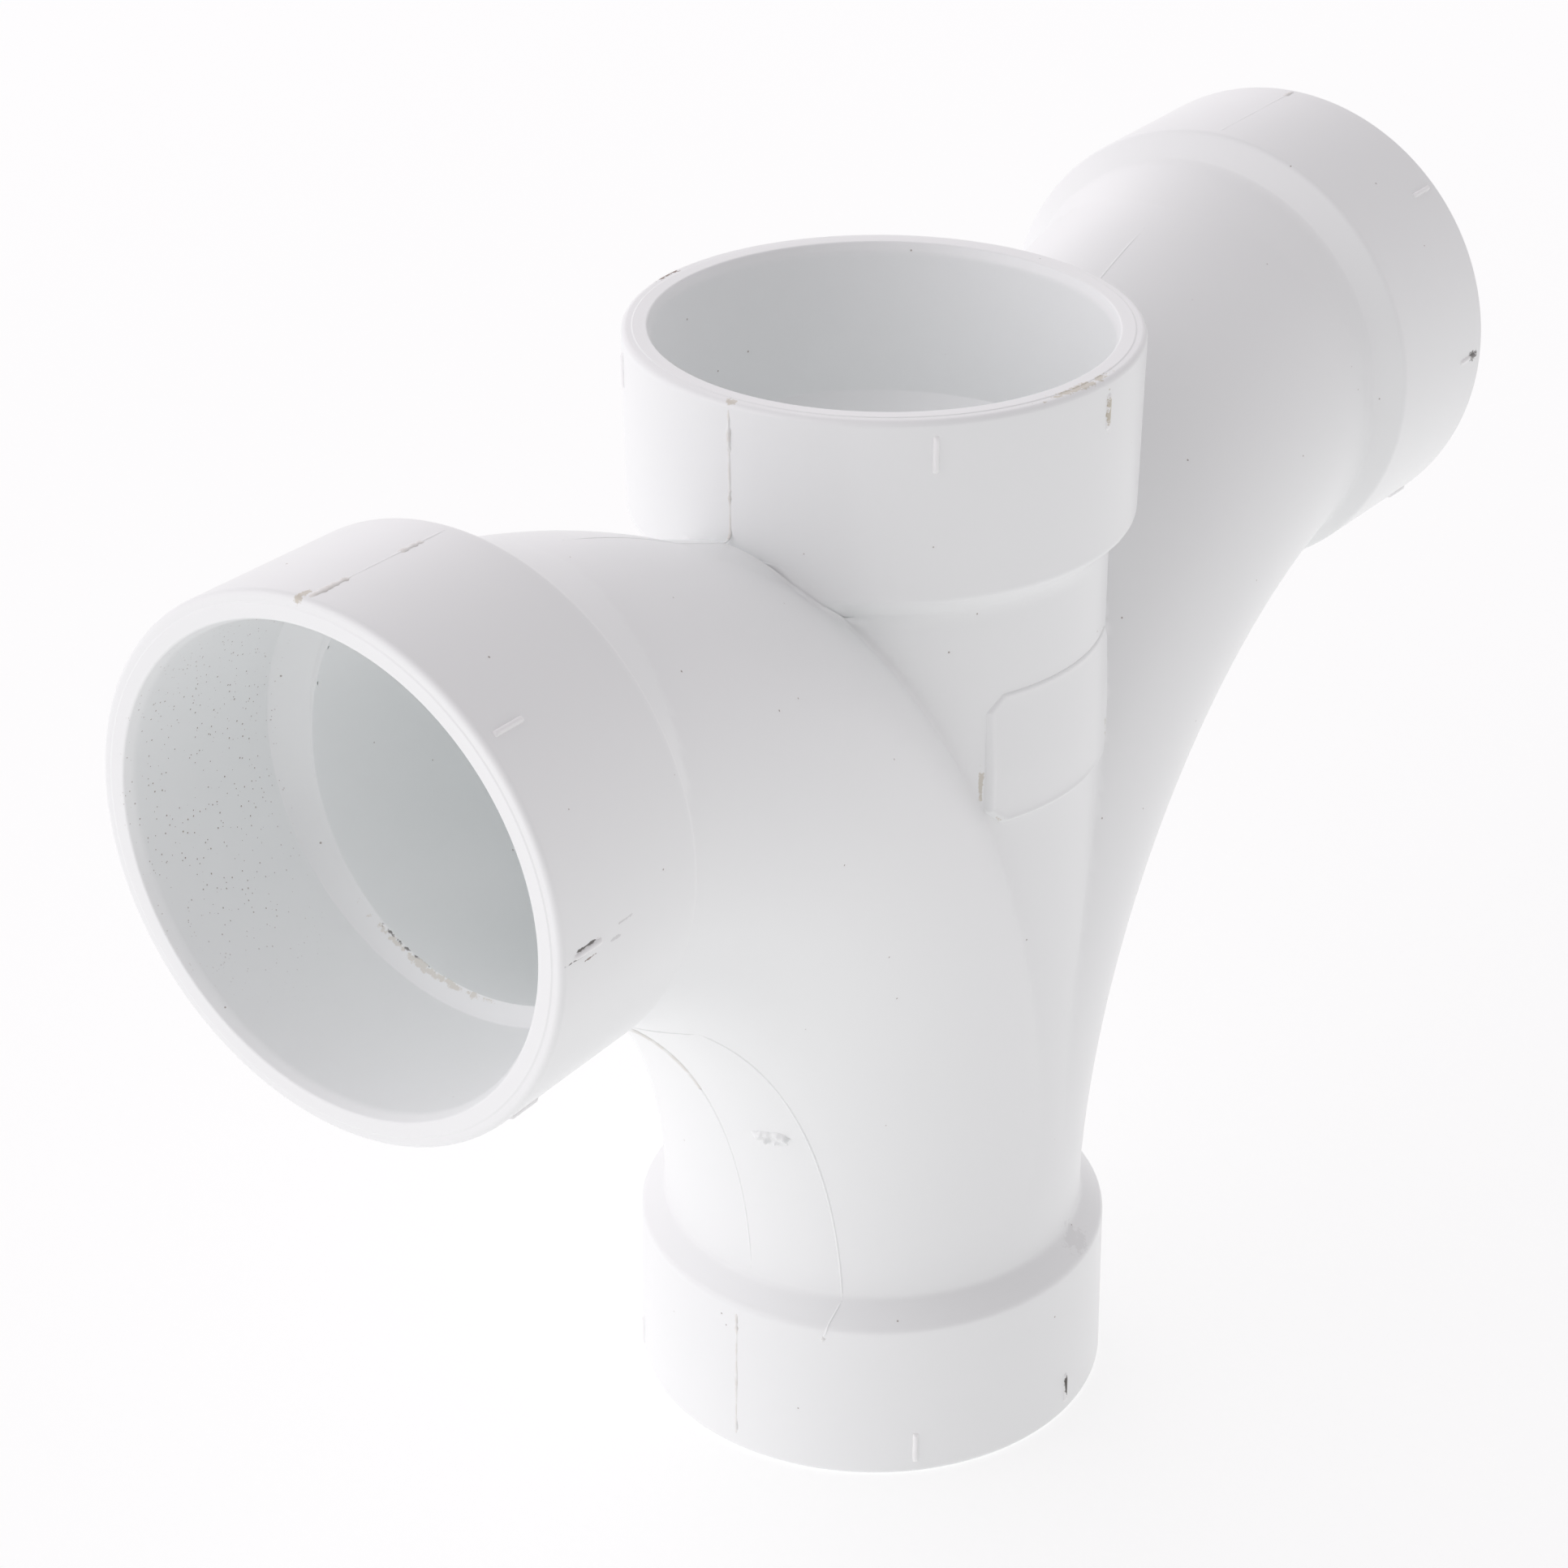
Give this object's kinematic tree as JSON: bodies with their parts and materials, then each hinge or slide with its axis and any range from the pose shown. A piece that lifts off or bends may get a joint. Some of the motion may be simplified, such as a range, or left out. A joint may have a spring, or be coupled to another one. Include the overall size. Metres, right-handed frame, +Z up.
{
  "type": "double sanitary tee pipe fitting",
  "caption": "White moulded PVC drain fitting: a vertical run with a pipe socket at each end and two opposed side inlets that sweep down into it.",
  "frame": {"origin": "centre of the bottom socket's mouth, which is also the centre of the base of the whole object", "axes": "+Z up along the vertical run, +X along the two side inlets, +Y across"},
  "size_m": [0.329, 0.102, 0.2423],
  "materials": {
    "pvc_white": "bright white rigid PVC, satin-gloss as moulded"
  },
  "bodies": {
    "root": {"top_socket": "pvc_white", "bottom_socket": "pvc_white", "left_socket": "pvc_white", "right_socket": "pvc_white", "top_stop_ring": "pvc_white", "bottom_stop_ring": "pvc_white", "left_stop_ring": "pvc_white", "right_stop_ring": "pvc_white", "barrel": "pvc_white", "left_sweep": "pvc_white", "right_sweep": "pvc_white", "top_ticks": "pvc_white", "bottom_ticks": "pvc_white", "left_ticks": "pvc_white", "right_ticks": "pvc_white", "top_parting_line": "pvc_white", "bottom_parting_line": "pvc_white", "left_parting_line": "pvc_white", "right_parting_line": "pvc_white", "left_sweep_seam": "pvc_white", "right_sweep_seam": "pvc_white", "size_pad": "pvc_white", "gate_stub": "pvc_white"}
  },
  "joints": []
}
